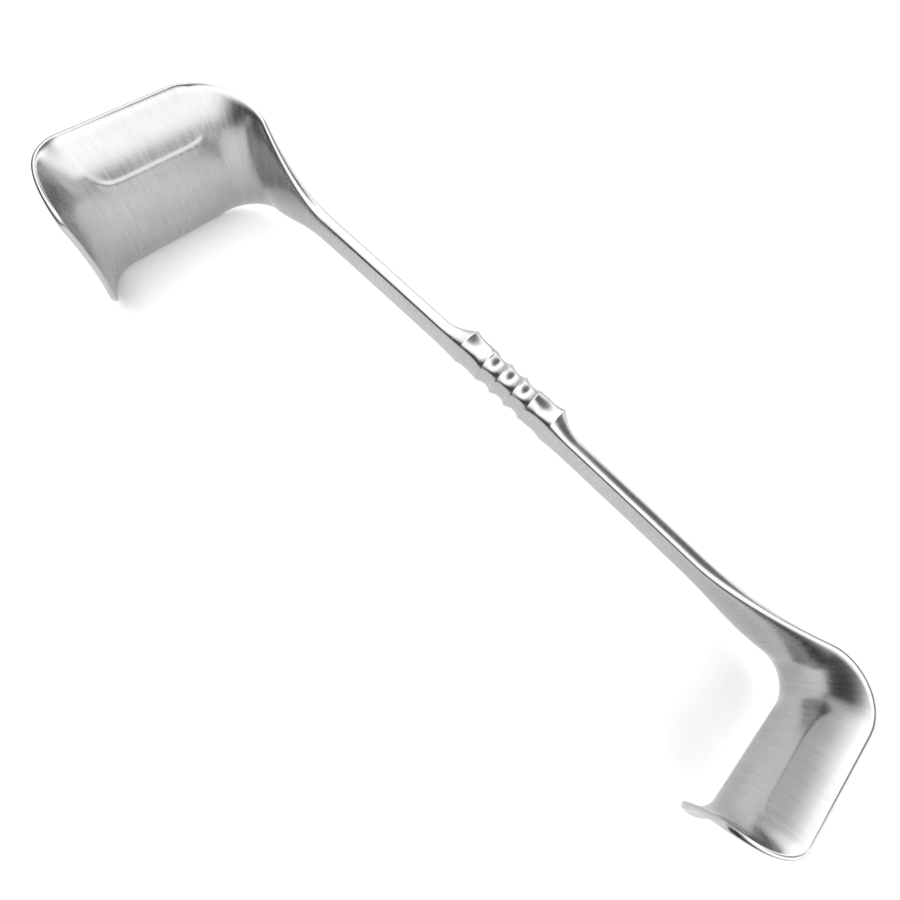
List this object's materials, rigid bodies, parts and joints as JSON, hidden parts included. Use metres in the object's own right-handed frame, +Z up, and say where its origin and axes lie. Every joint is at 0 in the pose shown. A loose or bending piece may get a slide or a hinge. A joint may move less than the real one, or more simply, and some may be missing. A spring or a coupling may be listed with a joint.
{
  "type": "handheld retractor",
  "caption": "Double-ended surgical hand retractor: a slim bowed bar with a ridged grip, flaring into a saddle-shaped blade with an inward lip at each end.",
  "frame": {"origin": "middle of the part's box in X and Y, at the height of the surface it lies on", "axes": "+X along the bar from the large blade to the small one, -Y the way the blades stand off the bar, +Z up, across the blades' width"},
  "size_m": [0.2663, 0.075, 0.051],
  "materials": {
    "steel": "satin-brushed stainless steel"
  },
  "bodies": {
    "root": {"retractor": "steel"}
  },
  "joints": []
}
